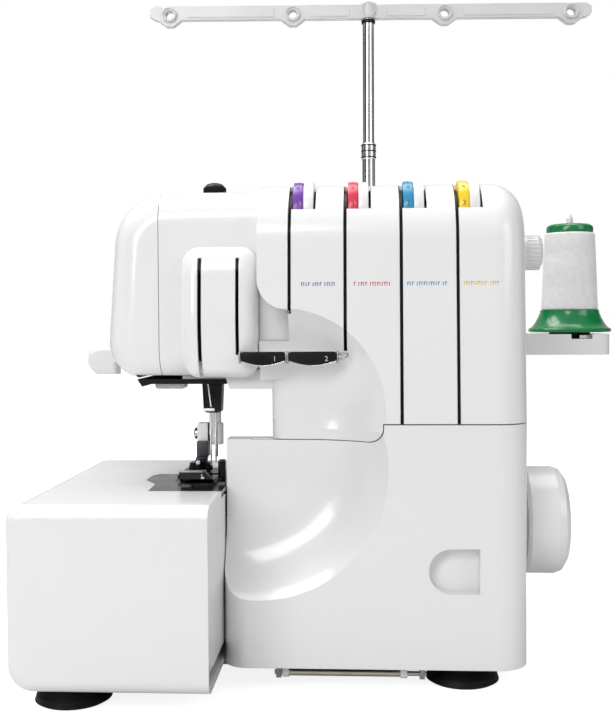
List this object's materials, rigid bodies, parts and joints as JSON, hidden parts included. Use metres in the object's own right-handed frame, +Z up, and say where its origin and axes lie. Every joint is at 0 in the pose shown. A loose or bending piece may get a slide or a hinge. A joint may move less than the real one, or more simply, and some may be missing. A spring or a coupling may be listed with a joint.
{
  "type": "overlock sewing machine",
  "caption": "Table-top overlock sewing machine with dished white casing, tension dials, hinged looper cover, slide-off cloth table, spool stand, telescopic thread pole and a cone of thread.",
  "frame": {"origin": "centre of the bounding box in X and Y, at the surface the feet stand on", "axes": "+X to the right of the person sewing, towards the handwheel; +Y away from them; +Z up"},
  "size_m": [0.378, 0.275, 0.4555],
  "materials": {
    "black_rubber": "matt",
    "base_steel": "matt",
    "hinge_steel": "satin",
    "white_shell": "gloss",
    "white_control": "gloss",
    "black_plastic": "satin",
    "polished_plate": "polished",
    "screw_steel": "satin",
    "tool_steel": "satin",
    "needle_steel": "polished",
    "dark_chrome": "polished",
    "bright_chrome": "polished",
    "purple_dial": "satin",
    "red_dial": "satin",
    "blue_dial": "satin",
    "yellow_dial": "satin",
    "bracket_steel": "satin",
    "cast_frame": "cast",
    "lamp_lens": "clear",
    "bush_bronze": "satin",
    "pulley_alloy": "turned",
    "motor_shell": "satin",
    "belt_rubber": "matt",
    "green_reel": "gloss",
    "white_thread": "wound",
    "clear_bar": "translucent"
  },
  "bodies": {
    "machine": {"rubber_feet": "black_rubber", "base_plate": "base_steel", "cover_hinge_rod": "hinge_steel", "lower_housing": "white_shell", "front_cover": "white_shell", "rear_cover": "white_shell", "face_cover": "white_shell", "take_up_cover": "white_shell", "thread_channels": "black_plastic", "thread_guides": "black_plastic", "needle_plate": "polished_plate", "cover_screws": "screw_steel", "tension_bracket": "bracket_steel", "tension_units": "bright_chrome", "machine_frame": "cast_frame", "arm_under_plate": "black_plastic", "sewing_lamp": "lamp_lens", "shaft_bushes": "bush_bronze", "drive_motor": "motor_shell", "drive_belt": "belt_rubber", "looper_pivots": "tool_steel", "lower_knife": "tool_steel", "power_inlet": "black_plastic", "switch_body": "black_plastic", "spool_tray": "white_shell", "spool_pins": "white_control", "spool_rests": "black_plastic", "pole_tube": "bright_chrome"},
    "table": {"cloth_table": "white_shell"},
    "cover_slider": {"cover_slide_bush": "hinge_steel"},
    "looper_door": {"looper_cover": "white_shell"},
    "drive": {"main_shaft": "needle_steel", "main_pulley": "pulley_alloy", "handwheel": "white_control"},
    "motor_rotor": {"motor_pulley": "black_plastic"},
    "needle_unit": {"needle_bar": "needle_steel", "needle_clamp": "dark_chrome", "needles": "needle_steel"},
    "lifter": {"lifter_lever": "white_control"},
    "presser": {"presser_bar": "needle_steel", "presser_ankle": "bright_chrome", "ankle_screw": "bright_chrome", "presser_spring": "tool_steel"},
    "foot": {"presser_foot": "dark_chrome"},
    "pressure_dial": {"pressure_knob": "black_plastic"},
    "left_needle_tension": {"left_needle_dial": "purple_dial"},
    "right_needle_tension": {"right_needle_dial": "red_dial"},
    "upper_looper_tension": {"upper_looper_dial": "blue_dial"},
    "lower_looper_tension": {"lower_looper_dial": "yellow_dial"},
    "length_dial": {"stitch_length_knob": "white_control"},
    "rocker": {"power_switch": "black_plastic"},
    "lower_looper_arm": {"lower_looper": "tool_steel"},
    "upper_looper_arm": {"upper_looper": "tool_steel"},
    "moving_knife": {"upper_knife": "tool_steel"},
    "main_feed": {"main_feed_dog": "tool_steel"},
    "front_feed": {"front_feed_dog": "tool_steel"},
    "pole_slider": {"pole_rod": "bright_chrome"},
    "guide_bar": {"thread_bar": "clear_bar"},
    "thread_cone": {"cone_core": "green_reel", "cone_thread": "white_thread"}
  },
  "joints": [
    {"name": "table_slide", "type": "slide", "parent": "machine", "child": "table", "axis": [-1, 0, 0], "range_m": [0, 0.115]},
    {"name": "cover_slide", "type": "slide", "parent": "machine", "child": "cover_slider", "axis": [1, 0, 0], "range_m": [0, 0.006]},
    {"name": "cover_hinge", "type": "hinge", "parent": "cover_slider", "child": "looper_door", "pos_m": [0, -0.077, 0.0105], "axis": [1, 0, 0], "range_deg": [0, 80]},
    {"name": "handwheel_spin", "type": "hinge", "parent": "machine", "child": "drive", "pos_m": [0, -0.02, 0.091], "axis": [1, 0, 0], "continuous": true},
    {"name": "motor_spin", "type": "hinge", "parent": "machine", "child": "motor_rotor", "pos_m": [0, 0.025, 0.046], "axis": [1, 0, 0], "continuous": true},
    {"name": "needle_stroke", "type": "slide", "parent": "machine", "child": "needle_unit", "axis": [0, 0, 1], "range_m": [-0.025, 0]},
    {"name": "lifter_turn", "type": "hinge", "parent": "machine", "child": "lifter", "pos_m": [-0.124, 0, 0.1935], "axis": [0, 1, 0], "range_deg": [-2, 52]},
    {"name": "presser_lift", "type": "slide", "parent": "machine", "child": "presser", "axis": [0, 0, 1], "range_m": [0, 0.0055], "deforming": ["presser_spring"]},
    {"name": "foot_tilt", "type": "hinge", "parent": "presser", "child": "foot", "pos_m": [0, -0.032, 0.125], "axis": [1, 0, 0], "range_deg": [-5, 1.2]},
    {"name": "pressure_turn", "type": "hinge", "parent": "machine", "child": "pressure_dial", "pos_m": [-0.0895, -0.02, 0.2965], "axis": [0, 0, 1], "range_deg": [-360, 360]},
    {"name": "left_needle_turn", "type": "hinge", "parent": "machine", "child": "left_needle_tension", "pos_m": [0, -0.0522, 0.2814], "axis": [1, 0, 0], "range_deg": [-150, 150]},
    {"name": "right_needle_turn", "type": "hinge", "parent": "machine", "child": "right_needle_tension", "pos_m": [0, -0.0522, 0.2814], "axis": [1, 0, 0], "range_deg": [-150, 150]},
    {"name": "upper_looper_turn", "type": "hinge", "parent": "machine", "child": "upper_looper_tension", "pos_m": [0, -0.0522, 0.2814], "axis": [1, 0, 0], "range_deg": [-150, 150]},
    {"name": "lower_looper_turn", "type": "hinge", "parent": "machine", "child": "lower_looper_tension", "pos_m": [0, -0.0522, 0.2814], "axis": [1, 0, 0], "range_deg": [-150, 150]},
    {"name": "length_turn", "type": "hinge", "parent": "machine", "child": "length_dial", "pos_m": [0.1, -0.027, 0.259], "axis": [1, 0, 0], "range_deg": [-140, 140]},
    {"name": "rocker_tilt", "type": "hinge", "parent": "machine", "child": "rocker", "pos_m": [0.094, 0.0235, 0.064], "axis": [0, 0, 1], "range_deg": [-6, 6]},
    {"name": "lower_looper_swing", "type": "hinge", "parent": "machine", "child": "lower_looper_arm", "pos_m": [-0.055, 0, 0.045], "axis": [0, 1, 0], "range_deg": [0, 9]},
    {"name": "upper_looper_swing", "type": "hinge", "parent": "machine", "child": "upper_looper_arm", "pos_m": [-0.055, 0, 0.072], "axis": [0, 1, 0], "range_deg": [-6, 8]},
    {"name": "knife_stroke", "type": "slide", "parent": "machine", "child": "moving_knife", "axis": [0, 0, 1], "range_m": [-0.003, 0.003]},
    {"name": "main_feed_stroke", "type": "slide", "parent": "machine", "child": "main_feed", "axis": [0, 1, 0], "range_m": [-0.002, 0.002]},
    {"name": "front_feed_stroke", "type": "slide", "parent": "machine", "child": "front_feed", "axis": [0, 1, 0], "range_m": [-0.002, 0.002]},
    {"name": "pole_slide", "type": "slide", "parent": "machine", "child": "pole_slider", "axis": [0, 0, 1], "range_m": [-0.085, 0]},
    {"name": "bar_swivel", "type": "hinge", "parent": "pole_slider", "child": "guide_bar", "pos_m": [0.0095, 0.1025, 0.449], "axis": [0, 0, 1], "range_deg": [-90, 90]},
    {"name": "cone_lift", "type": "slide", "parent": "machine", "child": "thread_cone", "axis": [0, 0, 1], "range_m": [0, 0.06]}
  ],
  "couplings": [
    {"joint": "motor_spin", "follows": "handwheel_spin", "ratio": 2.8889},
    {"joint": "lifter_turn", "follows": "presser_lift", "rad_per_m": 158.73}
  ]
}
